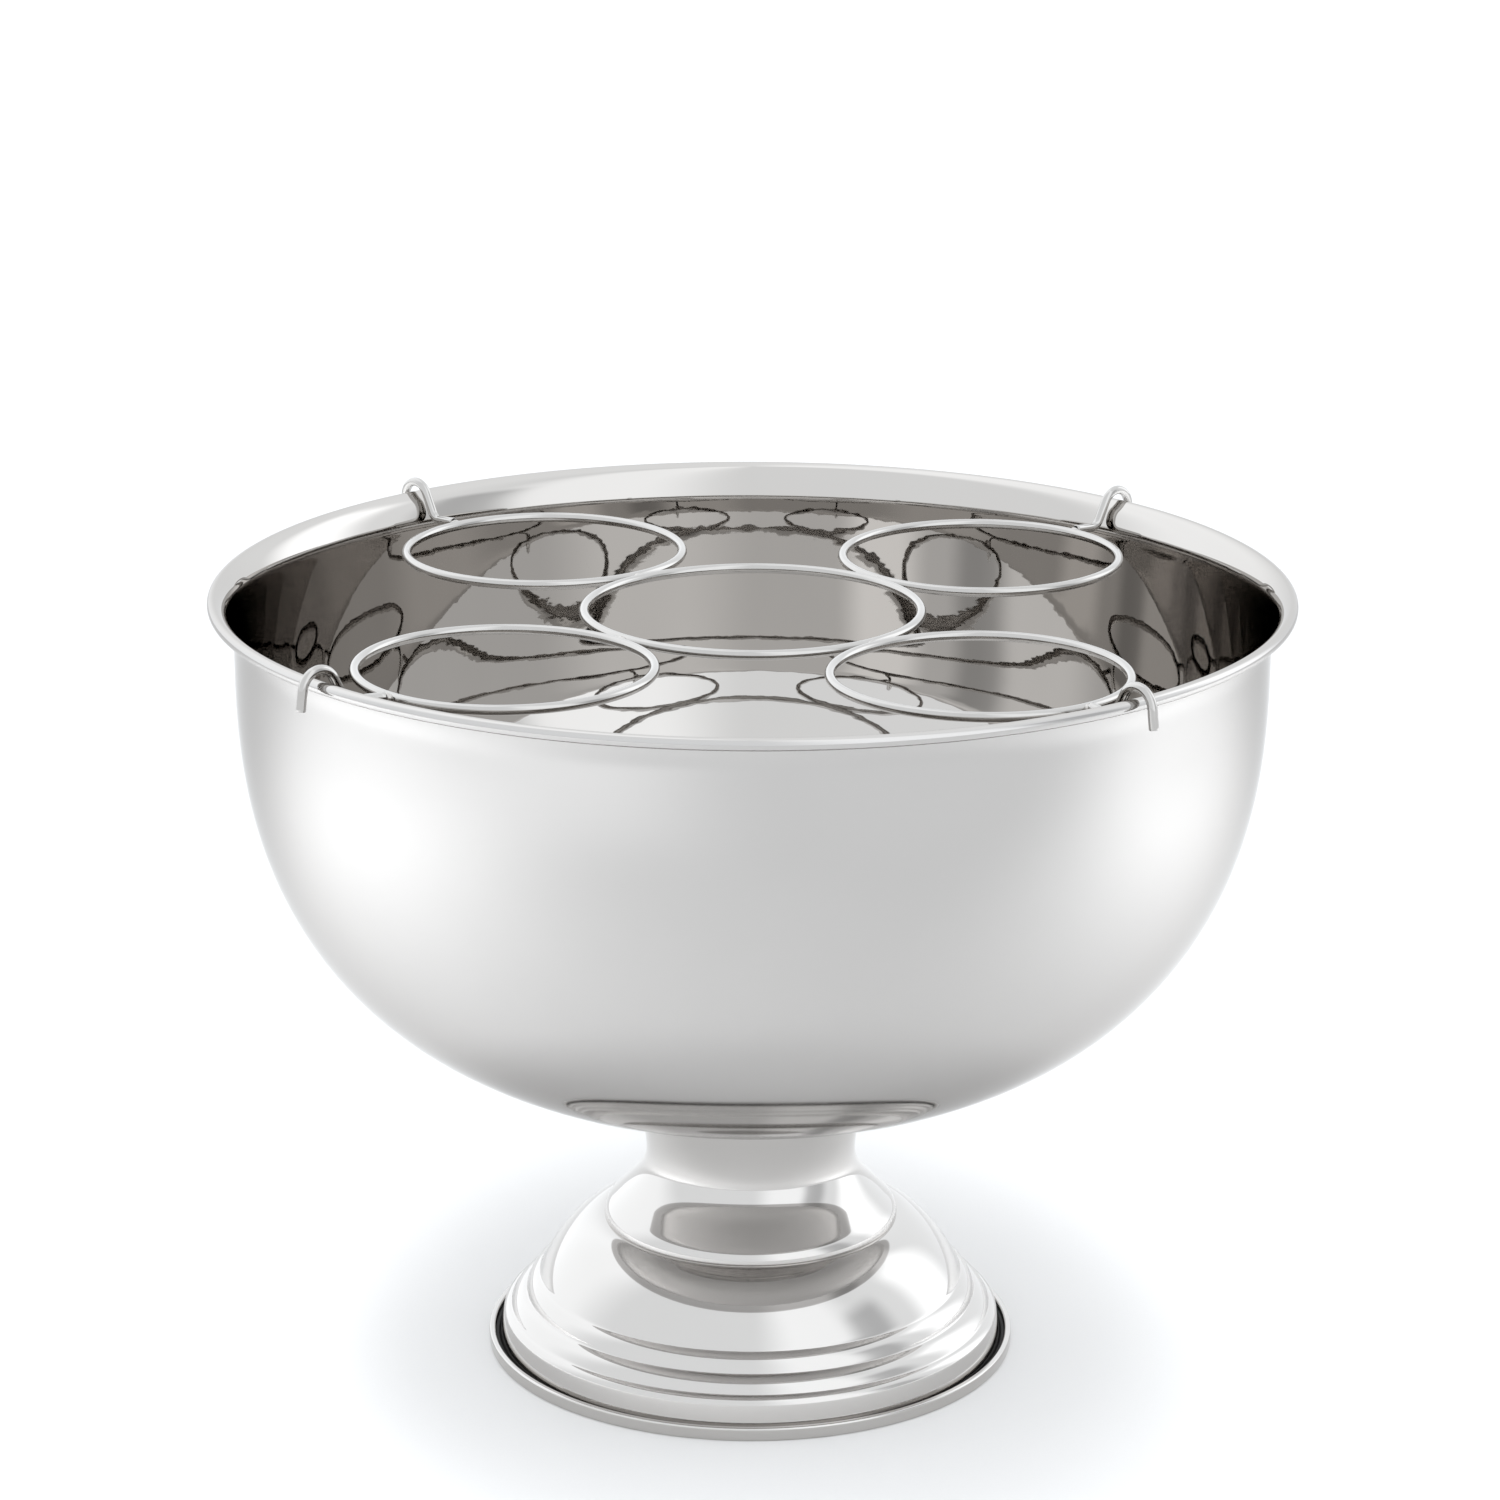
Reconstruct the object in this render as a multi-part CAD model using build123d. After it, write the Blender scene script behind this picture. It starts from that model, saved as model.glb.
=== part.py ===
from build123d import *
import os
from math import sin, cos, tan, radians, degrees, sqrt, hypot, atan2, acos

os.makedirs("parts", exist_ok=True)

# Champagne and punch bowl on a spun pedestal, with a five-ring bottle rack hung inside its rim.
# Millimetres. Origin: centre of the foot where it stands. +Z up, the rack square to X and Y.

# ---- bowl: spun stainless sheet, lip flared like a trumpet and curled into a bead ----
RIM_R = 205.0                 # outside of the curled bead
BEAD_R = 2.3                  # bead section radius
BEAD_HOLLOW_R = 1.4
BEAD_Z = 303.0                # height of the bead's centre
WALL_R = 195.4                # outside of the straight wall under the lip
SHEET = 1.2                   # bowl sheet
BELLY_Z = 282.8               # where the curved belly runs out into the straight wall
BELLY_DEPTH = 176.9
BELLY_POWER = 2.483           # fullness of the belly; 2 would be a plain ellipse
LIP_Z = 290.0                 # where the lip starts to flare
SEAT_R = 30.0                 # flat seat pressed in the bottom

# ---- pedestal ----
NECK_TOP = (46.6, 107.4)
WAIST = (40.75, 79.0)
FLARE_TOP = (48.6, 64.3)
FLARE_END = (54.2, 58.6)
KNOP_R = 57.5
KNOP_Z = 52.3                 # seam where the neck stands on the dome
SPUN = 1.2                    # pedestal sheet
STEP_1 = (82.7, 27.9)         # foot of the dome, top of the first ripple
STEP_2 = (87.9, 21.0)
STEP_3 = (94.0, 15.0)
SKIRT_TOP = (97.0, 12.6)
SKIRT_FOOT = (98.8, 2.3)

# ---- base ----
FOOT_R = 103.0
FOOT_H = 5.3
FOOT_EDGE = 2.4               # thickness of the turned-up edge
PAN_LOW, PAN_HIGH = 0.9, 1.9  # base pan floor
PAD_R = 94.0

# ---- fixing ----
STUD_R = 4.0
STUD_LOW = 92.0
FLANGE_UNDER = 105.2

# ---- bottle rack ----
WIRE_R = 1.9                  # ring wire
HOOK_R = 1.8                  # hook wire
RING_Z = 295.75
CENTRE_R = 63.6               # wire centre line of the middle ring
CORNER_R = 54.3
RING_GAP = 0.1                # closed by the welds
CORNER_OUT = CENTRE_R + CORNER_R + 2 * WIRE_R + RING_GAP
ARCH_R = 7.2
ARCH_U, ARCH_Z = 202.4, 301.9
LEG_LEAN = 8.0
LEG_END_Z = 295.3
RISER_ANGLE = 152.0
BEND_Z = 295.6
BEND_R = 5.0
FOOT_END_Z = 296.6
HOOKS = {                     # bearing of each hook, and how far its foot slips round to its ring
    "rear_left": (134.9, 0.0), "rear_right": (46.0, 0.0),
    "front_left": (-136.4, 7.0), "front_right": (-46.0, 1.0),
}


def belly(t_deg, inset=0.0):
    """Point of the belly; t is 0 on the axis and 90 at the wall."""
    t = radians(t_deg)
    e = 2.0 / BELLY_POWER
    return ((WALL_R - inset) * sin(t) ** e, BELLY_Z - (BELLY_DEPTH - inset) * cos(t) ** e)


def belly_angle(r, inset=0.0):
    return degrees(atan2(1, 1)) if r <= 0 else degrees(
        atan2((r / (WALL_R - inset)) ** (BELLY_POWER / 2.0),
              sqrt(1 - (r / (WALL_R - inset)) ** BELLY_POWER)))


def xz(p):
    return (p[0], 0, p[1])


def spin(lines):
    """Solid turned about Z from a closed outline drawn in the XZ plane."""
    return revolve(make_face(lines), Axis.Z)


def belly_curve(inset):
    start = belly_angle(SEAT_R, inset)
    steps = 9
    pts = [belly(start + (90 - start) * (i / steps) ** 1.0, inset) for i in range(steps + 1)]
    return Spline(*[xz(p) for p in pts]), pts[0], pts[-1]


def bowl_shell():
    outer, o0, o1 = belly_curve(0.0)
    inner, i0, i1 = belly_curve(SHEET)
    c = RIM_R - BEAD_R
    open_in, open_out = radians(115), radians(-130)

    def ring(r, a):
        return (c + r * cos(a), 0, BEAD_Z + r * sin(a))

    w_in = WALL_R - SHEET
    lip_in = Bezier((w_in, 0, LIP_Z), (w_in, 0, LIP_Z + 9), (c - 4.7, 0, BEAD_Z + 0.4), ring(BEAD_R, open_in))
    lip_out = Bezier((WALL_R, 0, LIP_Z), (WALL_R, 0, LIP_Z + 8.5), (c - 4.0, 0, BEAD_Z - 0.5),
                     ring(BEAD_HOLLOW_R, open_in))
    curl_out = ThreePointArc(ring(BEAD_R, open_in), ring(BEAD_R, 0), ring(BEAD_R, open_out))
    curl_in = ThreePointArc(ring(BEAD_HOLLOW_R, open_in), ring(BEAD_HOLLOW_R, 0), ring(BEAD_HOLLOW_R, open_out))
    lines = (
        Line((0, 0, o0[1]), xz(o0)) + outer + Line(xz(o1), (WALL_R, 0, LIP_Z)) + lip_out + curl_in
        + Line(ring(BEAD_HOLLOW_R, open_out), ring(BEAD_R, open_out)) + curl_out + lip_in
        + Line((w_in, 0, LIP_Z), xz(i1)) + inner + Line(xz(i0), (0, 0, i0[1]))
        + Line((0, 0, i0[1]), (0, 0, o0[1]))
    )
    return spin(lines)


SEAT_Z = belly(belly_angle(SEAT_R))[1]


def neck_knop():
    """Waisted sleeve with a flange turned in under the bowl and a round shoulder below."""
    top, bottom = NECK_TOP[1], KNOP_Z
    upper = Bezier(xz(NECK_TOP), (42.9, 0, 94.5), (WAIST[0], 0, 86.0), xz(WAIST))
    lower = Bezier(xz(WAIST), (WAIST[0], 0, 73.0), (44.6, 0, 68.4), xz(FLARE_TOP))
    shoulder = Bezier(xz(FLARE_END), (56.4, 0, 56.4), (KNOP_R, 0, 54.9), (KNOP_R - 0.2, 0, bottom))
    lines = (
        Line((6, 0, FLANGE_UNDER), (6, 0, SEAT_Z)) + Line((6, 0, SEAT_Z), (28, 0, SEAT_Z))
        + Line((28, 0, SEAT_Z), (30, 0, SEAT_Z - 0.3)) + Line((30, 0, SEAT_Z - 0.3), xz(NECK_TOP))
        + upper + lower + Line(xz(FLARE_TOP), xz(FLARE_END)) + shoulder
        + Line((KNOP_R - 0.2, 0, bottom), (KNOP_R - 1.7, 0, bottom))
        + Polyline((KNOP_R - 1.7, 0, bottom), (54.6, 0, 54.4), (52.1, 0, 57.1), (46.0, 0, 63.0),
                   (40.9, 0, 68.6), (38.8, 0, 73.5), (38.7, 0, 80.0), (39.6, 0, 86.5),
                   (41.3, 0, 94.5), (43.6, 0, FLANGE_UNDER), (6, 0, FLANGE_UNDER))
    )
    return spin(lines)


def bulge(a, b, rise):
    """Convex arc from a down to b, standing out by rise in the middle."""
    dx, dz = b[0] - a[0], b[1] - a[1]
    d = hypot(dx, dz)
    mid = ((a[0] + b[0]) / 2 - dz / d * rise, (a[1] + b[1]) / 2 + dx / d * rise)
    return ThreePointArc(xz(a), xz(mid), xz(b))


def foot_dome():
    top = KNOP_Z
    lines = (
        Line((44, 0, top), (KNOP_R - 0.4, 0, top))
        + Bezier((KNOP_R - 0.4, 0, top), (66.5, 0, 52.0), (77.6, 0, 39.6), xz(STEP_1))
        + bulge(STEP_1, STEP_2, 1.08) + bulge(STEP_2, STEP_3, 0.95) + bulge(STEP_3, SKIRT_TOP, 0.4)
        + Line(xz(SKIRT_TOP), xz(SKIRT_FOOT))
        + Polyline(xz(SKIRT_FOOT), (97.5, 0, SKIRT_FOOT[1]), (95.7, 0, 12.0), (92.6, 0, 14.2),
                   (86.6, 0, 20.4), (81.4, 0, 27.3), (77.4, 0, 34.0), (70.2, 0, 42.3), (63.0, 0, 48.2),
                   (56.4, 0, top - SPUN), (44, 0, top - SPUN), (44, 0, top))
    )
    return spin(lines)


def base_pan():
    """Closing pan with a rounded edge turned up outside the skirt."""
    ri = FOOT_R - FOOT_EDGE
    nose = 1.1
    lines = (
        Line((0, 0, PAN_LOW), (ri - 1.5, 0, PAN_LOW)) + Line((ri - 1.5, 0, PAN_LOW), (ri - 0.6, 0, 0))
        + Line((ri - 0.6, 0, 0), (FOOT_R - 0.9, 0, 0))
        + Bezier((FOOT_R - 0.9, 0, 0), (FOOT_R, 0, 0.1), (FOOT_R, 0, 1.0), (FOOT_R, 0, 1.7))
        + Line((FOOT_R, 0, 1.7), (FOOT_R, 0, FOOT_H - nose - 0.3))
        + Bezier((FOOT_R, 0, FOOT_H - nose - 0.3), (FOOT_R, 0, FOOT_H), (FOOT_R - 0.5, 0, FOOT_H),
                 (FOOT_R - nose, 0, FOOT_H))
        + Line((FOOT_R - nose, 0, FOOT_H), (ri + 0.5, 0, FOOT_H))
        + Line((ri + 0.5, 0, FOOT_H), (ri, 0, FOOT_H - 0.5)) + Line((ri, 0, FOOT_H - 0.5), (ri, 0, PAN_HIGH))
        + Line((ri, 0, PAN_HIGH), (0, 0, PAN_HIGH)) + Line((0, 0, PAN_HIGH), (0, 0, PAN_LOW))
    )
    return spin(lines)


def seal_ring():
    z, out = SKIRT_FOOT[1], FOOT_R - FOOT_EDGE - 0.1
    pts = [(95.5, PAN_HIGH), (out, PAN_HIGH), (out, 3.3), (99.05, 3.3), (99.05, z), (95.5, z), (95.5, PAN_HIGH)]
    return spin(Polyline(*[xz(p) for p in pts]))


def foot_pad():
    return Pos(0, 0, PAN_LOW / 2) * Cylinder(PAD_R, PAN_LOW)


def bowl_stud():
    h = SEAT_Z - STUD_LOW
    return Pos(0, 0, STUD_LOW) * (Cylinder(STUD_R, h, align=(Align.CENTER, Align.CENTER, Align.MIN)))


def fixing_washer():
    w = Cylinder(13, 1.5) - Cylinder(STUD_R + 0.3, 3)
    return Pos(0, 0, FLANGE_UNDER - 0.75) * w


def fixing_nut():
    blank = extrude(RegularPolygon(6.5, 6, major_radius=False), 6.5)
    nut = blank - Pos(0, 0, 3.25) * Cylinder(STUD_R + 0.05, 10)
    return Pos(0, 0, FLANGE_UNDER - 1.5 - 6.5) * nut


def wire_ring(x, y, r):
    return Pos(x, y, RING_Z) * Torus(r, WIRE_R)


def corner(name):
    s = CORNER_OUT / sqrt(2)
    return (s if "right" in name else -s, s if "rear" in name else -s)


def hook_path(name):
    """Cut leg outside the rim, round arch, riser inside the lip, bend, and foot on the ring."""
    bearing, slip = HOOKS[name]
    b = radians(bearing)
    out, side = Vector(cos(b), sin(b), 0), Vector(-sin(b), cos(b), 0)
    up = Vector(0, 0, 1)

    def at(u, z, v=0.0):
        return out * u + side * v + up * z

    def arch(a):
        return at(ARCH_U + ARCH_R * cos(radians(a)), ARCH_Z + ARCH_R * sin(radians(a)))

    leg_top = arch(LEG_LEAN)
    drop = leg_top.Z - LEG_END_Z
    leg_end = leg_top - up * drop + out * (drop * tan(radians(LEG_LEAN)))
    riser_top = arch(RISER_ANGLE)
    a = radians(RISER_ANGLE)
    fall = (riser_top.Z - BEND_Z) / -cos(a)
    knee = riser_top - out * (fall * sin(a)) - up * (riser_top.Z - BEND_Z)
    # the foot's end lies against the outside of the ring, a little round from the hook
    cx, cy = corner(name)
    ring_c = Vector(cx, cy, 0)
    towards = (at(180, 0, slip) - ring_c).normalized()
    foot_end = ring_c + towards * (CORNER_R + WIRE_R + HOOK_R - 0.1) + up * FOOT_END_Z
    d1, d2 = (riser_top - knee).normalized(), (foot_end - knee).normalized()
    half = acos(d1.dot(d2)) / 2
    back = BEND_R / tan(half)
    mid = knee + (d1 + d2).normalized() * (BEND_R / sin(half) - BEND_R)
    p, q = knee + d1 * back, knee + d2 * back
    over = foot_end + d2 * 1.0
    return (Line(leg_end, leg_top) + ThreePointArc(leg_top, arch(80), riser_top) + Line(riser_top, p)
            + ThreePointArc(p, mid, q) + Line(q, over)), leg_end, leg_top, foot_end, ring_c


def rim_hook(name):
    path, start, nxt, _, ring_c = hook_path(name)
    cx, cy = ring_c.X, ring_c.Y
    rod = sweep(Plane(origin=start, z_dir=(nxt - start)) * Circle(HOOK_R), path=path)
    return rod - Pos(cx, cy, RING_Z) * Torus(CORNER_R, WIRE_R + 0.05)


def ring_welds():
    blobs = []
    for name in HOOKS:
        cx, cy = corner(name)
        d = Vector(cx, cy, 0).normalized()
        p = d * (CENTRE_R + WIRE_R + RING_GAP / 2)
        blobs.append(Pos(p.X, p.Y, RING_Z) * Sphere(1.75))
    return Compound(children=blobs)


def hook_welds():
    blobs = []
    for name in HOOKS:
        _, _, _, end, c = hook_path(name)
        d = (Vector(end.X, end.Y, 0) - c).normalized()
        p = c + d * (CORNER_R + WIRE_R)
        blobs.append(Pos(p.X, p.Y, RING_Z + 0.5) * Sphere(1.7))
    return Compound(children=blobs)


def export(name, shape):
    export_step(shape, f"parts/{name}.step")


export("bowl_shell", bowl_shell())
export("neck_knop", neck_knop())
export("foot_dome", foot_dome())
export("base_pan", base_pan())
export("seal_ring", seal_ring())
export("foot_pad", foot_pad())
export("bowl_stud", bowl_stud())
export("fixing_washer", fixing_washer())
export("fixing_nut", fixing_nut())
export("ring_centre", wire_ring(0, 0, CENTRE_R))
for place in HOOKS:
    export(f"ring_{place}", wire_ring(*corner(place), CORNER_R))
    export(f"hook_{place}", rim_hook(place))
export("ring_welds", ring_welds())
export("hook_welds", hook_welds())
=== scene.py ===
import math

import bpy
import numpy as np
from mathutils import Matrix, Vector


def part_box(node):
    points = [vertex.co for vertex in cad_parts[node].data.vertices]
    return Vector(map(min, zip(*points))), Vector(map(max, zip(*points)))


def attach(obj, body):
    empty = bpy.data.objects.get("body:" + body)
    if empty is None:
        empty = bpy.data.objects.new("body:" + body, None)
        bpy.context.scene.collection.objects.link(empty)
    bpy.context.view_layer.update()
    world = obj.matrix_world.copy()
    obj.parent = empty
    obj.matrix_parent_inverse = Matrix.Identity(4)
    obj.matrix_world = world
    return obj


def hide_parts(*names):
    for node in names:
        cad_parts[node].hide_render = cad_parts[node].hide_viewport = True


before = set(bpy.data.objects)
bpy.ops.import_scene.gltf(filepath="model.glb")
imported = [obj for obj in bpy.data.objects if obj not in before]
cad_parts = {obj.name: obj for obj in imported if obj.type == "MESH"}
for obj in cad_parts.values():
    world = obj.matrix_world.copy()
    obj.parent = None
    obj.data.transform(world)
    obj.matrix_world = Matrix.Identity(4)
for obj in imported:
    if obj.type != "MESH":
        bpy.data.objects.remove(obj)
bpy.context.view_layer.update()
MM = 0.001
BOWL, RACK = "bowl", "bottle_rack"

# ------------------------------------------------------------------ sizes, millimetres
# Bowl: curled bead of the rim, wall, and the superellipse of the belly's outside
RIM_R, BEAD_R, BEAD_HOLLOW, BEAD_Z = 205.0, 2.3, 1.4, 303.0
WALL_R, LIP_Z = 195.4, 290.0
BELLY_Z, BELLY_DEPTH, BELLY_POWER, SEAT_R = 282.8, 176.9, 2.483, 30.0
# Bowl: its inside, with a shallow dip in the middle, leaning out to the lip
HOLLOW_R, HOLLOW_Z, HOLLOW_DEPTH, HOLLOW_P, HOLLOW_Q = 193.0, 282.43, 170.8, 0.658, 0.868
DIP, DIP_R, LEAN, LEAN_H = 3.4, 67.5, 1.63, 48.1
# Pedestal, as (radius, height) down its outside
NECK_TOP, WAIST = (46.6, 107.4), (40.75, 79.0)
FLARE_TOP, FLARE_END = (48.6, 64.3), (54.2, 58.6)
KNOP_R, KNOP_Z = 57.5, 52.3
STEP_1, STEP_2, STEP_3 = (82.7, 27.9), (87.9, 21.0), (94.0, 15.0)
SKIRT_TOP, SKIRT_FOOT = (97.0, 12.6), (98.8, 2.3)
FOOT_R, FOOT_H, FOOT_EDGE, PAN_LOW, PAN_HIGH = 103.0, 5.3, 2.4, 0.9, 1.9
NOSE = 1.1
SEAL_IN, SEAL_STEP, SEAL_STEP_Z, SEAL_TOP = 95.5, 99.05, 2.3, 3.3
PAD_R = 94.0
# Rack: wires, then the hook's arch, leg, riser, bend and foot
WIRE_R, HOOK_R = 1.9, 1.8
ARCH_R, ARCH_U, ARCH_Z = 7.2, 202.4, 301.9
LEG_LEAN, LEG_END_Z, RISER_ANGLE = 8.0, 295.3, 152.0
BEND_Z, BEND_R, FOOT_END_Z, FOOT_REACH = 295.6, 5.0, 296.6, 180.0
# bearing of each hook in degrees, and how far to the side its foot is aimed
HOOKS = {"rear_left": (134.9, 0.0), "rear_right": (46.0, 0.0),
         "front_left": (-136.4, 7.0), "front_right": (-46.0, 1.0)}
FLOOR_SHADE = 0.78


# ------------------------------------------------------------------ outlines (radius, height)
def run(a, b, n=2):
    """Straight run from a to b, without its last point."""
    t = np.linspace(0, 1, n, endpoint=False)[:, None]
    return np.array(a) * (1 - t) + np.array(b) * t


def sweep_curve(a, b, c, d, n=16):
    """Cubic Bezier curve from a to d, pulled towards b and c, without its last point."""
    t = np.linspace(0, 1, n, endpoint=False)[:, None]
    a, b, c, d = (np.array(p, float) for p in (a, b, c, d))
    return (1 - t) ** 3 * a + 3 * (1 - t) ** 2 * t * b + 3 * (1 - t) * t ** 2 * c + t ** 3 * d


def on_circle(centre, radius, degrees):
    """Point of a circle at an angle in degrees from outwards, turning up."""
    a = math.radians(degrees)
    return centre[0] + radius * math.cos(a), centre[1] + radius * math.sin(a)


def arc(centre, radius, start, end, n=12):
    """Circle arc in degrees from start to end, without its last point."""
    a = np.radians(np.linspace(start, end, n, endpoint=False))
    return np.stack([centre[0] + radius * np.cos(a), centre[1] + radius * np.sin(a)], 1)


def bulge(a, b, rise, n=14):
    """Arc from a to b that stands out to the left of its chord by rise: a parabola on the chord."""
    t = np.linspace(0, 1, n, endpoint=False)[:, None]
    a, b = np.array(a, float), np.array(b, float)
    chord = b - a
    side = np.array([-chord[1], chord[0]]) / np.hypot(*chord)
    return a + chord * t + side * (4 * rise * t * (1 - t))


def lengths(outline):
    """Length along an outline from its start to each of its points."""
    return np.concatenate([[0], np.cumsum(np.hypot(*np.diff(outline, axis=0).T))])


def soften(outline, reach):
    """Rounds the creases of an outline: each point becomes the mean of the outline over a short
    length either side of it, measured along the outline."""
    length = lengths(outline)
    half = np.minimum(reach, np.minimum(length, length[-1] - length))
    total = 0
    for share in np.linspace(-1, 1, 9):
        at = length + half * share
        total = total + np.stack([np.interp(at, length, outline[:, k]) for k in (0, 1)], 1)
    return total / 9


def belly(n=44):
    """Outside of the belly from the flat seat up to the wall: a superellipse,
    r = R sin(t)^(2/p) and z = top - depth cos(t)^(2/p)."""
    e = 2 / BELLY_POWER
    seat = (SEAT_R / WALL_R) ** (1 / e)
    t = np.linspace(math.asin(seat), math.pi / 2, n)
    return np.stack([WALL_R * np.sin(t) ** e, BELLY_Z - BELLY_DEPTH * np.cos(t) ** e], 1)


def hollow(n=70):
    """Inside from the axis up to the wall's top: r = R sin(t)^p and z = top - D cos(t)^q, with a shallow
    dip -d exp(-(r/w)^2) in the middle and the wall leaning out by l ((z - z0) / h)^2 above z0.
    The points crowd a little towards the wall."""
    t = np.pi / 2 * (1 - (1 - np.linspace(0, 1, n)) ** 1.15)
    r, z = HOLLOW_R * np.sin(t) ** HOLLOW_P, HOLLOW_Z - HOLLOW_DEPTH * np.cos(t) ** HOLLOW_Q
    r = np.append(r, [HOLLOW_R] * 3)
    z = np.append(z, np.linspace(HOLLOW_Z, LIP_Z, 4)[1:])
    z = z - DIP * np.exp(-(r / DIP_R) ** 2)
    r = r + LEAN * np.clip((z - LIP_Z + LEAN_H) / LEAN_H, 0, None) ** 2
    return np.stack([r, z], 1)


# ------------------------------------------------------------------ meshes
def add_mesh(name, verts, faces, body, replaced, material, uv=None):
    """Piece from points in millimetres, riding on a body in place of the CAD nodes in replaced."""
    mesh = bpy.data.meshes.new(name)
    mesh.from_pydata((np.asarray(verts) * MM).tolist(), [], faces)
    mesh.polygons.foreach_set("use_smooth", np.ones(len(mesh.polygons), bool))
    if uv is not None:
        mesh.uv_layers.new(name="wrap").data.foreach_set("uv", np.asarray(uv, np.float32).ravel())
    mesh.update()
    piece = bpy.data.objects.new(name, mesh)
    bpy.context.scene.collection.objects.link(piece)
    mesh.materials.append(material)
    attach(piece, body)
    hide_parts(*replaced)
    return piece


def corners(low_u, high_u, low_v, high_v):
    """UV of four-cornered faces, anticlockwise from low u and low v."""
    pairs = ((low_u, low_v), (high_u, low_v), (high_u, high_v), (low_u, high_v))
    return np.stack([np.stack(pair, -1) for pair in pairs], -2).reshape(-1, 2)


def spun(name, outline, material, replaced, turns, closed=False):
    """Outline (r, z) turned about Z: x = r cos(a), y = r sin(a), z = z. An open outline starts and
    ends on the axis, where each end is one point; a closed one is a ring."""
    a = np.arange(turns) * 2 * np.pi / turns
    body = outline if closed else outline[1:-1]
    r, z = body[:, :1], body[:, 1:]
    grid = np.stack([r * np.cos(a), r * np.sin(a), z + 0 * a], -1).reshape(-1, 3)
    rows = len(body)
    i, j = np.meshgrid(np.arange(rows if closed else rows - 1), np.arange(turns), indexing="ij")
    above, beside = (i + 1) % rows, (j + 1) % turns
    quads = np.stack([i * turns + j, i * turns + beside, above * turns + beside, above * turns + j], -1)
    faces = quads.reshape(-1, 4).tolist()
    v = lengths(body)
    v = v / v[-1]
    upper_v = np.append(v[1:], 1.0)
    uv = corners(j / turns, (j + 1) / turns, v[i], upper_v[i])
    if not closed:
        low, high, last = len(grid), len(grid) + 1, (rows - 1) * turns
        grid = np.vstack([grid, [[0, 0, outline[0, 1]], [0, 0, outline[-1, 1]]]])
        k = np.arange(turns)
        k1 = (k + 1) % turns
        faces += np.stack([np.full(turns, low), k1, k], 1).tolist()
        faces += np.stack([np.full(turns, high), last + k, last + k1], 1).tolist()
        uv = np.vstack([uv, fan_uv(k / turns, (k + 1) / turns, k / turns, 0.0),
                        fan_uv(k / turns, k / turns, (k + 1) / turns, 1.0)])
    return add_mesh(name, grid, faces, BOWL, replaced, material, uv)


def fan_uv(tip_u, first_u, second_u, v):
    """UV of the three-cornered faces that close a turned grid: v at their outer corners, 0 on the axis."""
    flat = np.full(len(tip_u), v)
    pairs = ((tip_u, 0 * flat), (first_u, flat), (second_u, flat))
    return np.stack([np.stack(pair, 1) for pair in pairs], 1).reshape(-1, 2)


def rod(name, path, radius, across, material, replaced, closed=False, sides=28, cut=0.25):
    """Round wire along a path: p = path + s (cos(b) n + sin(b) m), where n and m stand square to the
    path and s is the radius. An open rod has flat cut ends with a small chamfer."""
    path = np.asarray(path, float)
    if closed:
        tangent = np.roll(path, -1, 0) - np.roll(path, 1, 0)
    else:
        tangent = np.gradient(path, axis=0)
    tangent /= np.linalg.norm(tangent, axis=1, keepdims=True)
    section = np.full(len(path), radius, float)
    if not closed:
        first, last = path[0], path[-1]
        path = np.vstack([first, first + tangent[0] * cut, path[1:-1], last - tangent[-1] * cut, last])
        tangent = np.vstack([tangent[0], tangent, tangent[-1]])
        section = np.concatenate([[radius - cut], section, [radius - cut]])
    m = np.cross(tangent, across)
    m /= np.linalg.norm(m, axis=1, keepdims=True)
    n = np.cross(m, tangent)
    b = np.arange(sides) * 2 * np.pi / sides
    ring = n[:, None] * np.cos(b)[None, :, None] + m[:, None] * np.sin(b)[None, :, None]
    grid = (path[:, None] + section[:, None, None] * ring).reshape(-1, 3)
    rows = len(path)
    i, j = np.meshgrid(np.arange(rows if closed else rows - 1), np.arange(sides), indexing="ij")
    ahead, beside = (i + 1) % rows, (j + 1) % sides
    quads = np.stack([i * sides + j, ahead * sides + j, ahead * sides + beside, i * sides + beside], -1)
    faces = quads.reshape(-1, 4).tolist()
    step = np.linalg.norm(np.diff(path, axis=0, append=path[:1]), axis=1)
    along = np.concatenate([[0], np.cumsum(step)])
    pairs = ((along[i], j / sides), (along[i + 1], j / sides),
             (along[i + 1], (j + 1) / sides), (along[i], (j + 1) / sides))
    uv = np.stack([np.stack(pair, -1) for pair in pairs], -2).reshape(-1, 2)
    if not closed:
        k = np.arange(sides)
        faces += [k[::-1].tolist(), ((rows - 1) * sides + k).tolist()]
        uv = np.vstack([uv, np.zeros((2 * sides, 2))])
    return add_mesh(name, grid, faces, RACK, replaced, material, uv)


# ------------------------------------------------------------------ shader maths
class Wire:
    """A socket that can be added, subtracted, multiplied and divided in Python."""

    def __init__(self, book, socket):
        self.book, self.socket = book, socket

    def maths(self, operation, *values):
        return self.book.add("ShaderNodeMath", {"operation": operation}, dict(enumerate(values)))

    def __add__(self, other):
        return self.maths("ADD", self, other)

    def __radd__(self, other):
        return self.maths("ADD", other, self)

    def __sub__(self, other):
        return self.maths("SUBTRACT", self, other)

    def __rsub__(self, other):
        return self.maths("SUBTRACT", other, self)

    def __mul__(self, other):
        return self.maths("MULTIPLY", self, other)

    def __rmul__(self, other):
        return self.maths("MULTIPLY", other, self)

    def __truediv__(self, other):
        return self.maths("DIVIDE", self, other)

    def __rtruediv__(self, other):
        return self.maths("DIVIDE", other, self)


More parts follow.
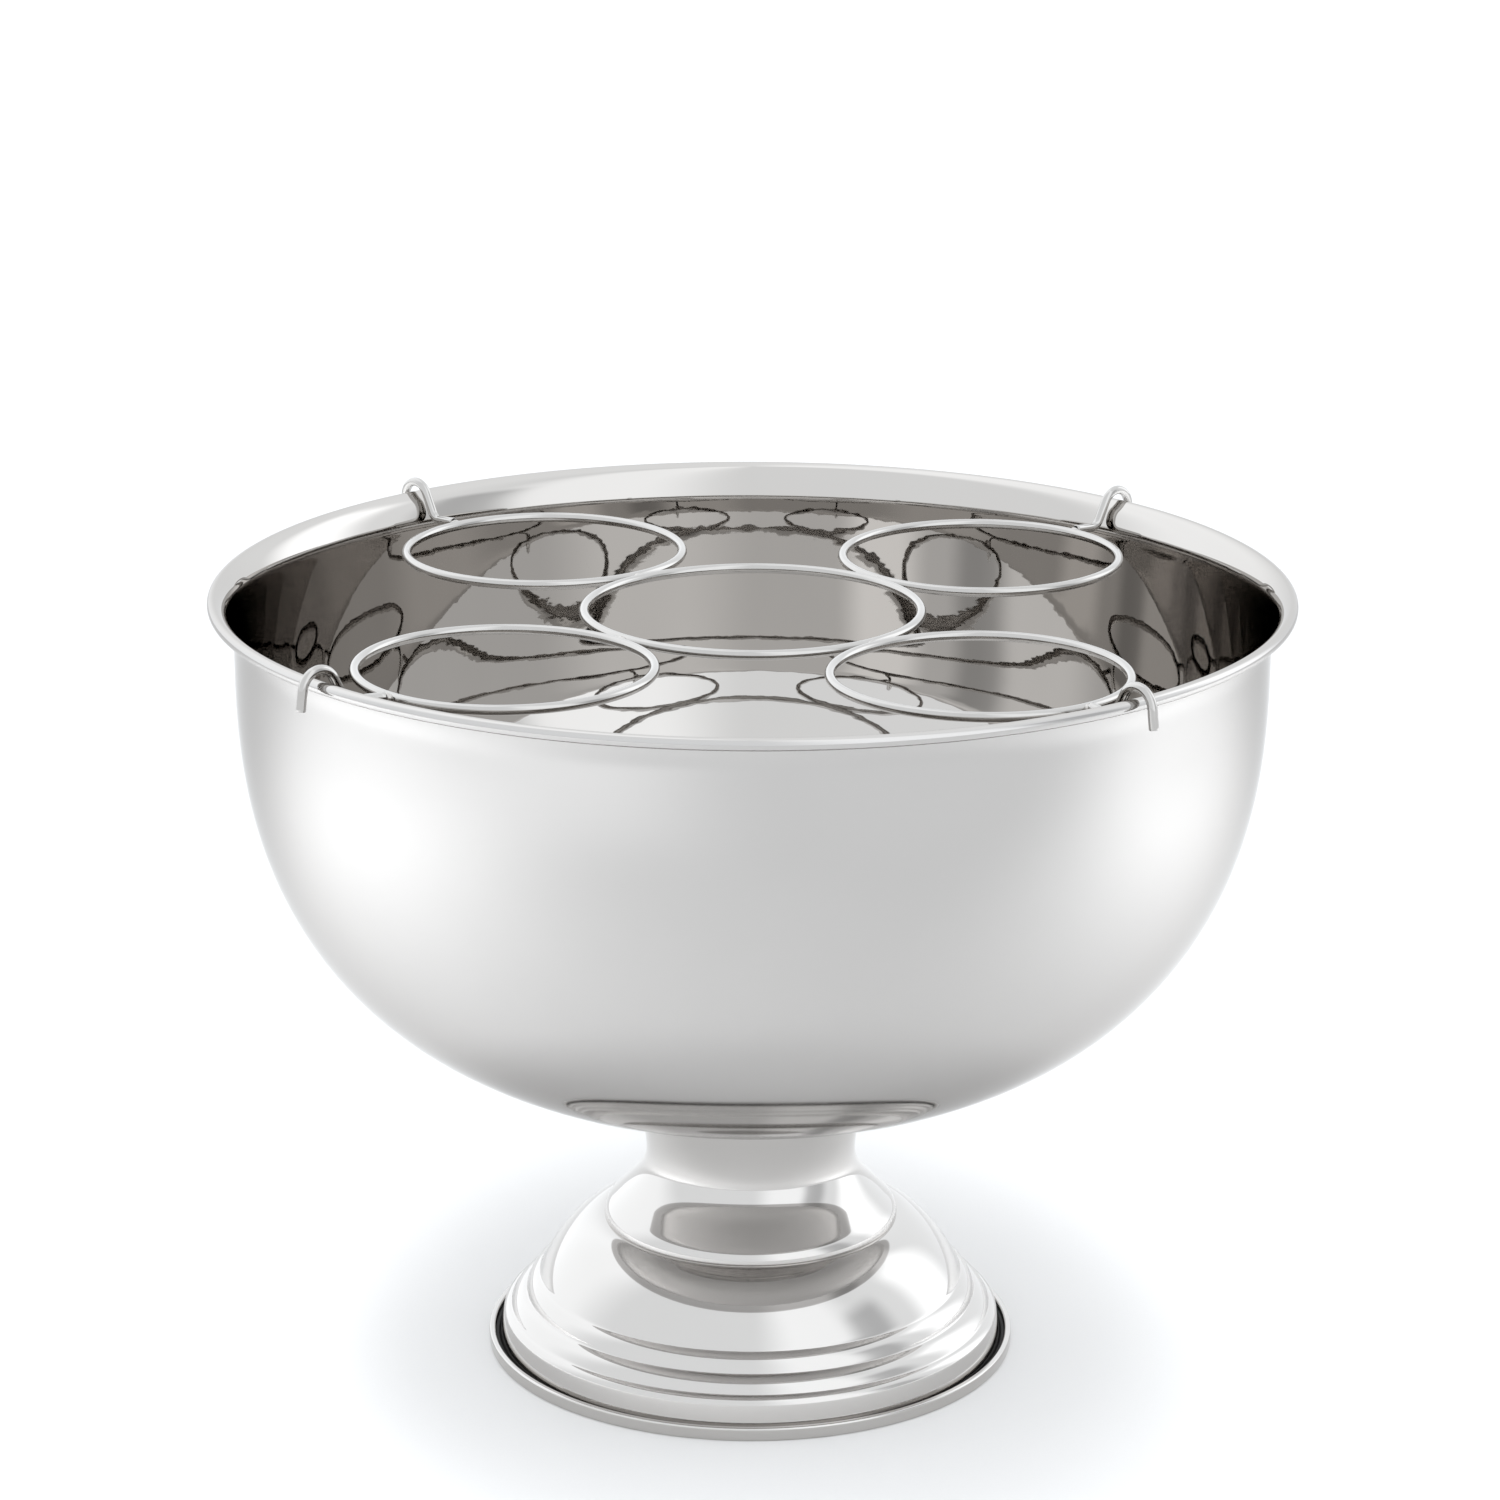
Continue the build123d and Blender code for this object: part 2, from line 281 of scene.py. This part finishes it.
class Book:
    """One node tree and the one way that nodes are added to it."""

    def __init__(self, tree):
        self.tree = tree
        tree.nodes.clear()

    def add(self, kind, settings=None, inputs=None, out=0):
        node = self.tree.nodes.new(kind)
        for key, value in (settings or {}).items():
            setattr(node, key, value)
        for key, value in (inputs or {}).items():
            if isinstance(value, Wire):
                self.tree.links.new(value.socket, node.inputs[key])
            else:
                node.inputs[key].default_value = value
        return Wire(self, node.outputs[out]) if len(node.outputs) else None

    def smooth(self, value, low, high):
        """0 below low, 1 above high, with soft ends."""
        return self.add("ShaderNodeMapRange", {"interpolation_type": "SMOOTHSTEP"},
                        {"Value": value, "From Min": low, "From Max": high})

    def tint(self, factor, a, b):
        """Colour from a to b."""
        a, b = ((*c, 1) if isinstance(c, tuple) else c for c in (a, b))
        return self.add("ShaderNodeMix", {"data_type": "RGBA"}, {0: factor, 6: a, 7: b}, out=2)

    def noise(self, vector, scale, detail=2.0, rough=0.5):
        return self.add("ShaderNodeTexNoise", {}, {"Vector": vector, "Scale": scale, "Detail": detail,
                                                   "Roughness": rough})

    def bump(self, height, strength=1.0):
        """Normal from a height in metres."""
        return self.add("ShaderNodeBump", {}, {"Strength": strength, "Distance": 1.0, "Height": height})

    def split(self, vector):
        parts = self.add("ShaderNodeSeparateXYZ", {}, {"Vector": vector}).socket.node
        return tuple(Wire(self, parts.outputs[k]) for k in range(3))

    def place(self):
        """Place on the object, in metres."""
        return self.add("ShaderNodeTexCoord", {}, {}, out=3)

    def wrap(self):
        return self.add("ShaderNodeUVMap", {"uv_map": "wrap"}, {})

    def surface(self, **inputs):
        shader = self.add("ShaderNodeBsdfPrincipled", {}, inputs)
        self.add("ShaderNodeOutputMaterial", {}, {"Surface": shader})


def material(name):
    made = bpy.data.materials.new(name)
    made.use_nodes = True
    return made, Book(made.node_tree)


def turned_place(book):
    """Place on a spun surface: its x, y and z, then round the axis in radians and out from it in metres."""
    place = book.place()
    x, y, z = book.split(place)
    bearing = y.maths("ARCTAN2", y, x)
    out = x.maths("SQRT", x * x + y * y)
    return place, x, y, z, bearing, out


def lathe_lines(book, bearing, out, z, stretch, fineness, detail, rough):
    """Fine lines left by the lathe: noise stretched along the bearing."""
    rings = book.add("ShaderNodeCombineXYZ", {}, {0: bearing * stretch, 1: out * fineness, 2: z * fineness})
    return book.noise(rings, 1.0, detail, rough)


def bowl_steel():
    """Spun stainless bowl: satin lathe lines outside, mirror inside with the faint ripples of spinning."""
    made, book = material("bowl_steel")
    place, x, y, z, bearing, out = turned_place(book)
    v = book.split(book.wrap())[1]
    outside = 1 - book.smooth(v, OUTSIDE_END - 0.002, OUTSIDE_END + 0.002)
    lines = lathe_lines(book, bearing, out, z, 0.9, 2600, 3.0, 0.65)
    cloudy = book.noise(place, 14.0, 3.0, 0.5)
    waves = book.add("ShaderNodeCombineXYZ", {}, {0: x / out * 18, 1: y / out * 18, 2: (z + out) * 250})
    ripple = book.noise(waves, 1.0, 1.0, 0.4)
    sway = book.noise(place, 34.0, 1.0, 0.4)
    rough_out = 0.050 + 0.05 * lines + 0.03 * cloudy
    rough_in = 0.006 + 0.008 * lines + 0.008 * cloudy
    rough = rough_in + outside * (rough_out - rough_in)
    height = lines * 0.0000014 * outside + ripple * 0.0000062 * (1 - outside) + sway * 0.00002
    inner = book.tint(cloudy, (0.505, 0.487, 0.468), (0.532, 0.513, 0.494))
    outer = book.tint(cloudy, (0.500, 0.4885, 0.4785), (0.526, 0.514, 0.504))
    book.surface(**{"Base Color": book.tint(outside, inner, outer), "Metallic": 1.0, "Roughness": rough,
                    "Normal": book.bump(height), "Specular Tint": (0.74, 0.733, 0.726, 1)})
    return made


def polished_steel():
    """Mirror-polished steel: faint buffing marks and a little unevenness left by spinning."""
    made, book = material("polished_steel")
    place, _, _, z, bearing, out = turned_place(book)
    lines = lathe_lines(book, bearing, out, z, 1.5, 1800, 2.0, 0.6)
    cloudy = book.noise(place, 30.0, 3.0, 0.5)
    height = lines * 0.0000007 + book.noise(place, 60.0, 1.0, 0.4) * 0.000008
    colour = (0.530, 0.515, 0.500)
    light = tuple(c * 1.05 for c in colour)
    book.surface(**{"Base Color": book.tint(cloudy, colour, light), "Metallic": 1.0,
                    "Roughness": 0.03 + 0.03 * lines * cloudy, "Normal": book.bump(height)})
    return made


def wire_steel():
    """Drawn and polished wire: faint scratches along its length."""
    made, book = material("wire_steel")
    drawn = book.add("ShaderNodeMapping", {}, {"Vector": book.wrap(), "Scale": (0.15, 60.0, 1.0)})
    lines = book.noise(drawn, 1.0, 2.0, 0.6)
    marks = book.noise(book.place(), 160.0, 3.0, 0.6)
    rough = 0.05 + 0.05 * lines + 0.04 * book.smooth(marks, 0.5, 0.75)
    height = lines * 0.000001 + marks * 0.000006
    book.surface(**{"Base Color": book.tint(marks, (0.455, 0.442, 0.428), (0.500, 0.487, 0.472)),
                    "Metallic": 1.0, "Roughness": rough, "Normal": book.bump(height)})
    return made


def weld_steel():
    """Weld ground back and buffed: slightly warm, uneven and duller than the wire."""
    made, book = material("weld_steel")
    marks = book.noise(book.place(), 420.0, 3.0, 0.6)
    book.surface(**{"Base Color": book.tint(marks, (0.47, 0.45, 0.43), (0.55, 0.53, 0.51)),
                    "Metallic": 1.0, "Roughness": 0.14 + 0.2 * marks, "Normal": book.bump(marks * 0.00004)})
    return made


def black_rubber():
    """Moulded black rubber with a fine matt grain."""
    made, book = material("black_rubber")
    grain = book.noise(book.place(), 1500.0, 3.0, 0.6)
    book.surface(**{"Base Color": book.tint(grain, (0.006, 0.006, 0.006), (0.016, 0.015, 0.014)),
                    "Roughness": 0.55 + 0.25 * grain, "Normal": book.bump(grain * 0.00006, 0.6)})
    return made


def zinc_plate():
    """Bright zinc on the hidden fixing, with a light spangle."""
    made, book = material("zinc_plate")
    spangle = book.noise(book.place(), 700.0, 4.0, 0.6)
    book.surface(**{"Base Color": book.tint(spangle, (0.52, 0.53, 0.55), (0.68, 0.69, 0.70)),
                    "Metallic": 1.0, "Roughness": 0.3 + 0.2 * spangle})
    return made


def studio_floor():
    """Matt white paper sweep with a barely visible tooth."""
    made, book = material("studio_floor")
    tooth = book.noise(book.place(), 900.0, 2.0, 0.5)
    paper = (1.008, 1.0, 0.992)
    low, high = (tuple((FLOOR_SHADE + step) * w for w in paper) for step in (-0.01, 0.01))
    book.surface(**{"Base Color": book.tint(tooth, low, high), "Roughness": 0.9, "Specular IOR Level": 0.1})
    return made


# ------------------------------------------------------------------ bowl
def bowl_outline():
    """Seat, belly, wall, trumpet lip, curled bead, then back down inside. Also says how far along it,
    as a share, the satin outside gives way to polish: on the outer side of the bead."""
    bead = (RIM_R - BEAD_R, BEAD_Z)
    curl_start, curl_end, bead_points, satin_points = 115, -130, 30, 22
    outer, inner = belly(), hollow()[::-1]
    wall_top = inner[0]
    handle = wall_top + np.array([2 * LEAN / LEAN_H, 1]) * 9
    under = np.vstack([
        run((0, outer[0, 1]), outer[0], 4),
        outer[:-1],
        run(outer[-1], (WALL_R, LIP_Z), 3),
        sweep_curve((WALL_R, LIP_Z), (WALL_R, LIP_Z + 8.5), (bead[0] - 4.0, BEAD_Z - 0.5),
                    on_circle(bead, BEAD_HOLLOW, curl_start), 16),
        arc(bead, BEAD_HOLLOW, curl_start, curl_end, 14),
        run(on_circle(bead, BEAD_HOLLOW, curl_end), on_circle(bead, BEAD_R, curl_end), 2),
    ])
    over = np.vstack([
        arc(bead, BEAD_R, curl_end, curl_start, bead_points),
        sweep_curve(on_circle(bead, BEAD_R, curl_start), (bead[0] - 4.7, BEAD_Z + 0.4), handle, wall_top, 34),
        inner,
    ])
    whole = np.vstack([under, over])
    length = lengths(whole[1:-1])
    return whole, length[len(under) - 1 + satin_points] / length[-1]


outline, OUTSIDE_END = bowl_outline()
spun("bowl", outline, bowl_steel(), ["bowl_shell"], turns=432)


# ------------------------------------------------------------------ pedestal
def neck_outline():
    """Waisted sleeve with its top edge turned in under the bowl, from the seam up and back down inside."""
    outer = np.vstack([
        sweep_curve((KNOP_R - 0.2, KNOP_Z), (KNOP_R, 54.9), (56.4, 56.4), FLARE_END, 26),
        run(FLARE_END, FLARE_TOP, 14),
        sweep_curve(FLARE_TOP, (44.6, 68.4), (WAIST[0], 73.0), WAIST, 26),
        sweep_curve(WAIST, (WAIST[0], 86.0), (42.9, 94.5), NECK_TOP, 26),
        [NECK_TOP],
    ])
    inner = [(30, 106.2), (28, 106.4), (6, 106.4), (6, 105.2), (43.6, 105.2), (41.3, 94.5), (39.6, 86.5),
             (38.7, 80.0), (38.8, 73.5), (40.9, 68.6), (46.0, 63.0), (52.1, 57.1), (54.6, 54.4),
             (KNOP_R - 1.7, KNOP_Z)]
    return np.vstack([soften(outer, 0.8), inner])


def dome_outline():
    """Skirt, two stepped ripples and the convex dome, from the skirt's foot up to the seam and back."""
    seam = (KNOP_R - 0.4, KNOP_Z)
    outer = np.vstack([
        run(SKIRT_FOOT, SKIRT_TOP, 24),
        bulge(SKIRT_TOP, STEP_3, -0.4, 14),
        bulge(STEP_3, STEP_2, -0.95, 30),
        bulge(STEP_2, STEP_1, -1.08, 30),
        sweep_curve(STEP_1, (77.6, 39.6), (66.5, 52.0), seam, 50),
        [seam],
    ])
    inner = [(44, KNOP_Z), (44, KNOP_Z - 1.2), (56.4, KNOP_Z - 1.2), (63.0, 48.2), (70.2, 42.3), (77.4, 34.0),
             (81.4, 27.3), (86.6, 20.4), (92.6, 14.2), (95.7, 12.0), (97.5, SKIRT_FOOT[1])]
    return np.vstack([soften(outer, 0.55), inner])


def pan_outline():
    """Closing pan: its edge is turned up outside the skirt and rounded over."""
    edge_in = FOOT_R - FOOT_EDGE
    shoulder = FOOT_H - NOSE - 0.3
    return np.vstack([
        run((0, PAN_LOW), (edge_in - 1.5, PAN_LOW), 2),
        run((edge_in - 1.5, PAN_LOW), (edge_in - 0.6, 0), 4),
        run((edge_in - 0.6, 0), (FOOT_R - 0.9, 0), 4),
        sweep_curve((FOOT_R - 0.9, 0), (FOOT_R, 0.1), (FOOT_R, 1.0), (FOOT_R, 1.7), 10),
        run((FOOT_R, 1.7), (FOOT_R, shoulder), 4),
        sweep_curve((FOOT_R, shoulder), (FOOT_R, FOOT_H), (FOOT_R - 0.5, FOOT_H),
                    (FOOT_R - NOSE, FOOT_H), 14),
        run((FOOT_R - NOSE, FOOT_H), (edge_in + 0.5, FOOT_H), 4),
        run((edge_in + 0.5, FOOT_H), (edge_in, FOOT_H - 0.5), 4),
        run((edge_in, FOOT_H - 0.5), (edge_in, PAN_HIGH), 3),
        run((edge_in, PAN_HIGH), (0, PAN_HIGH), 3),
        [(0, PAN_HIGH)],
    ])


def seal_outline():
    """Ring that lies in the pan under the skirt's foot and fills the groove outside it."""
    out = FOOT_R - FOOT_EDGE - 0.1
    return np.array([(SEAL_IN, PAN_HIGH), (out, PAN_HIGH), (out, SEAL_TOP - 0.2), (out - 0.3, SEAL_TOP),
                     (SEAL_STEP + 0.3, SEAL_TOP), (SEAL_STEP, SEAL_TOP - 0.2), (SEAL_STEP, SEAL_STEP_Z),
                     (SEAL_IN, SEAL_STEP_Z)])


def pad_outline():
    """Flat round pad with a small chamfer on its lower edge."""
    return np.array([(0, 0), (PAD_R - 0.4, 0), (PAD_R, 0.3), (PAD_R, PAN_LOW), (0, PAN_LOW)], float)


polished = polished_steel()
rubber = black_rubber()
spun("neck_and_knop", neck_outline(), polished, ["neck_knop"], turns=360, closed=True)
spun("foot_dome_rippled", dome_outline(), polished, ["foot_dome"], turns=420, closed=True)
spun("base_pan_edge", pan_outline(), polished, ["base_pan"], turns=420)
spun("seal_ring_black", seal_outline(), rubber, ["seal_ring"], turns=300, closed=True)
spun("foot_pad_round", pad_outline(), rubber, ["foot_pad"], turns=240)

# ------------------------------------------------------------------ bottle rack
wire = wire_steel()
weld = weld_steel()


def node_box(node):
    """Centre and size of a node's box, in millimetres."""
    low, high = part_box(node)
    return np.array((low + high) / 2) / MM, np.array(high - low) / MM


def bent_ring(node, name, seed):
    """Wire ring, very slightly out of round: R(a) = R + e2 cos 2(a - a2) + e3 cos 3(a - a3), with a
    little dip and rise."""
    centre, size = node_box(node)
    chance = np.random.default_rng(seed)
    a = np.linspace(0, 2 * np.pi, 260, endpoint=False)
    a2, a3 = chance.uniform(0, np.pi, 2)
    r = size[0] / 2 - WIRE_R + 0.18 * np.cos(2 * (a - a2)) + 0.10 * np.cos(3 * (a - a3))
    lift = 0.12 * np.cos(2 * (a - a3))
    path = np.stack([centre[0] + r * np.cos(a), centre[1] + r * np.sin(a), centre[2] + lift], 1)
    return rod(name, path, WIRE_R, (0, 0, 1), wire, [node], closed=True)


def unit(v):
    return v / np.linalg.norm(v)


def bend(before, knee, after, radius, n=14):
    """Round bend at knee between two straight runs: its start, its points and its end."""
    d1, d2 = unit(before - knee), unit(after - knee)
    half = math.acos(float(d1 @ d2)) / 2
    start, end = knee + d1 * radius / math.tan(half), knee + d2 * radius / math.tan(half)
    middle = knee + unit(d1 + d2) * radius / math.sin(half)
    e1 = (start - middle) / radius
    e2 = unit((end - middle) - e1 * float((end - middle) @ e1))
    w = np.linspace(0, math.pi - 2 * half, n, endpoint=False)[:, None]
    return start, middle + radius * (np.cos(w) * e1 + np.sin(w) * e2), end


def hook_line(place):
    """Cut leg outside the rim, round arch, riser inside the lip, bend, and foot against the ring."""
    bearing, slip = HOOKS[place]
    b = math.radians(bearing)
    out, side, up = np.array([[math.cos(b), math.sin(b), 0], [-math.sin(b), math.cos(b), 0], [0, 0, 1.0]])

    def arch(degrees):
        a = np.radians(degrees)[..., None]
        return out * (ARCH_U + ARCH_R * np.cos(a)) + up * (ARCH_Z + ARCH_R * np.sin(a))

    leg_top, riser_top = arch(np.array(LEG_LEAN)), arch(np.array(RISER_ANGLE))
    drop = leg_top[2] - LEG_END_Z
    leg_end = leg_top - up * drop + out * drop * math.tan(math.radians(LEG_LEAN))
    a = math.radians(RISER_ANGLE)
    fall = (riser_top[2] - BEND_Z) / -math.cos(a)
    knee = riser_top - out * fall * math.sin(a) - up * (riser_top[2] - BEND_Z)
    centre, size = node_box("ring_" + place)
    ring_axis = np.array([centre[0], centre[1], 0])
    towards = unit(out * FOOT_REACH + side * slip - ring_axis)
    foot_end = ring_axis + towards * (size[0] / 2 + HOOK_R - 0.1) + up * FOOT_END_Z
    start, knee_arc, end = bend(riser_top, knee, foot_end, BEND_R)
    past = foot_end + unit(foot_end - knee) * 0.9
    t = np.linspace(0, 1, 8, endpoint=False)[:, None]
    line = np.vstack([
        leg_end * (1 - t) + leg_top * t,
        arch(np.linspace(LEG_LEAN, RISER_ANGLE, 30, endpoint=False)),
        riser_top * (1 - t) + start * t,
        knee_arc,
        end * (1 - t) + past * t,
        [past],
    ])
    return line, side, foot_end


def weld_bead(centre, size, turn, seed):
    """Weld bead: an ellipsoid with a slightly lumpy skin, 40 by 24 points."""
    u, v = np.meshgrid(np.linspace(0, 2 * np.pi, 40, endpoint=False), np.linspace(0.02, np.pi - 0.02, 24))
    k = 1 + 0.05 * np.sin(3 * u + seed) * np.sin(2 * v + seed)
    along, over = size[0] * k * np.cos(u) * np.sin(v), size[1] * k * np.sin(u) * np.sin(v)
    c, s = math.cos(turn), math.sin(turn)
    return np.stack([along * c - over * s, along * s + over * c, size[2] * k * np.cos(v)], -1) + centre


def weld_beads(name, items, replaced):
    """Several weld beads as one piece: each a grid closed at both poles."""
    verts, faces, base = [], [], 0
    for item in items:
        grid = weld_bead(*item)
        rows, cols = grid.shape[:2]
        i, j = np.meshgrid(np.arange(rows - 1), np.arange(cols), indexing="ij")
        beside = (j + 1) % cols
        quads = np.stack([i * cols + j, (i + 1) * cols + j, (i + 1) * cols + beside, i * cols + beside], -1)
        faces += (base + quads.reshape(-1, 4)).tolist()
        pole = np.arange(cols)
        faces += [(base + pole).tolist(), (base + (rows - 1) * cols + pole[::-1]).tolist()]
        verts.append(grid.reshape(-1, 3))
        base += rows * cols
    return add_mesh(name, np.vstack(verts), faces, RACK, replaced, weld)


bent_ring("ring_centre", "rack_ring_centre", 3)
for n, place in enumerate(HOOKS):
    bent_ring("ring_" + place, "rack_ring_" + place, 11 + n)

ring_beads, hook_beads = [], []
middle_size = node_box("ring_centre")[1]
for n, place in enumerate(HOOKS):
    line, side, foot_end = hook_line(place)
    rod("rack_hook_" + place, line, HOOK_R, side, wire, ["hook_" + place])
    centre, size = node_box("ring_" + place)
    d = unit(centre[:2])
    spot = np.array([*(d * middle_size[0] / 2), centre[2]])
    ring_beads.append((spot, (1.5, 2.6, 1.7), math.atan2(d[1], d[0]), n))
    d = unit(foot_end[:2] - centre[:2])
    spot = np.array([*(centre[:2] + d * size[0] / 2), centre[2] + 0.4])
    hook_beads.append((spot, (1.6, 2.3, 1.6), math.atan2(d[1], d[0]), n + 5))
weld_beads("rack_ring_welds", ring_beads, ["ring_welds"])
weld_beads("rack_hook_welds", hook_beads, ["hook_welds"])

zinc = zinc_plate()
for node in ("bowl_stud", "fixing_washer", "fixing_nut"):
    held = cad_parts[node]
    held.data.materials.clear()
    held.data.materials.append(zinc)

# ------------------------------------------------------------------ studio
FLOOR_HALF = 9.0
mesh = bpy.data.meshes.new("studio_floor")
mesh.from_pydata([(-FLOOR_HALF, -FLOOR_HALF, 0), (FLOOR_HALF, -FLOOR_HALF, 0), (FLOOR_HALF, FLOOR_HALF, 0),
                  (-FLOOR_HALF, FLOOR_HALF, 0)], [], [(0, 1, 2, 3)])
floor = bpy.data.objects.new("studio_floor", mesh)
bpy.context.scene.collection.objects.link(floor)
mesh.materials.append(studio_floor())

LIGHT = (0.970, 1.0, 1.030)
world = bpy.data.worlds.new("studio")
bpy.context.scene.world = world
world.use_nodes = True
book = Book(world.node_tree)
east, north, rise = book.split(book.add("ShaderNodeTexCoord", {}, {}))
compass = east.maths("ARCTAN2", east, north * -1) * (180 / math.pi)   # 0 in front, positive to the right
tilt = rise.maths("ARCSINE", rise) * (180 / math.pi)


def panel(centre, half, gain, low=-90.0, high=90.0):
    """Diffusion panel round the set: a soft-edged stretch of compass, between two tilts, in degrees."""
    away = (compass - centre).maths("WRAP", compass - centre, 180.0, -180.0)
    away = away.maths("ABSOLUTE", away)
    across = 1 - book.smooth(away, half * 0.45, half * 1.55)
    tall = book.smooth(tilt, low - 6, low + 6) * (1 - book.smooth(tilt, high - 6, high + 6))
    return across * tall * gain


glow = 1.25 + panel(-128, 34, 0.42) + panel(40, 24, 0.42) + panel(122, 15, 0.70, -10, 42) \
    + panel(150, 60, 0.12) + panel(74, 12, -0.48, -20, 38)
sky = book.add("ShaderNodeBackground", {}, {"Color": (*LIGHT, 1), "Strength": glow})
book.add("ShaderNodeOutputWorld", {}, {"Surface": sky})


def pool(name, place, aim, cone, blend, lift, size=0.25):
    """Soft spot that brightens the floor at aim by lift, and shows in no reflection.
    Its power is lift x pi / floor shade x 4 pi x distance squared / cosine."""
    lamp = bpy.data.lights.new(name, "SPOT")
    reach = Vector(place) - Vector(aim)
    lamp.energy = lift * math.pi / FLOOR_SHADE * 4 * math.pi * reach.length_squared / (reach.z / reach.length)
    lamp.spot_size, lamp.spot_blend, lamp.shadow_soft_size = math.radians(cone), blend, size
    lamp.color = LIGHT
    thing = bpy.data.objects.new(name, lamp)
    thing.location = place
    thing.rotation_euler = (-reach).to_track_quat("-Z", "Y").to_euler()
    thing.visible_glossy = False
    bpy.context.scene.collection.objects.link(thing)


pool("pool_left_near", (-0.42, -0.02, 1.6), (-0.48, -0.04, 0), 40, 1.0, 0.55)
pool("pool_front_near", (0.0, -1.1, 0.8), (0.0, -0.20, 0), 30, 1.0, 0.13)
pool("pool_front_left", (-0.9, -1.1, 1.9), (-0.70, -1.0, 0), 42, 1.0, 0.42)
pool("pool_left_far", (-1.2, 0.0, 2.0), (-1.0, -0.10, 0), 42, 1.0, 0.75)
pool("pool_right_near", (0.42, 0.05, 1.6), (0.46, 0.10, 0), 36, 1.0, 0.45)
pool("pool_right_far", (1.2, 0.1, 2.0), (0.95, 0.20, 0), 35, 0.8, 0.75)

# ------------------------------------------------------------------ camera
TURN, DISTANCE, HEIGHT = 0.043, 1.8096, 0.7809
PITCH, ROLL = 0.302024, 0.0035
camera_data = bpy.data.cameras.new("camera")
camera_data.sensor_width = 36.0
camera_data.lens = 118.872
camera_data.shift_x, camera_data.shift_y = -0.0013, 0.0392
camera = bpy.data.objects.new("camera", camera_data)
camera.matrix_world = (Matrix.Rotation(TURN, 4, "Z") @ Matrix.Translation((0, -DISTANCE, HEIGHT))
                       @ Matrix.Rotation(math.pi / 2 - PITCH, 4, "X") @ Matrix.Rotation(ROLL, 4, "Z"))
bpy.context.scene.collection.objects.link(camera)
bpy.context.scene.camera = camera
bpy.context.scene.view_settings.view_transform = "Standard"
# light goes round inside the polished bowl many times before it comes out
bpy.context.scene.cycles.max_bounces = 16
bpy.context.scene.cycles.glossy_bounces = 12
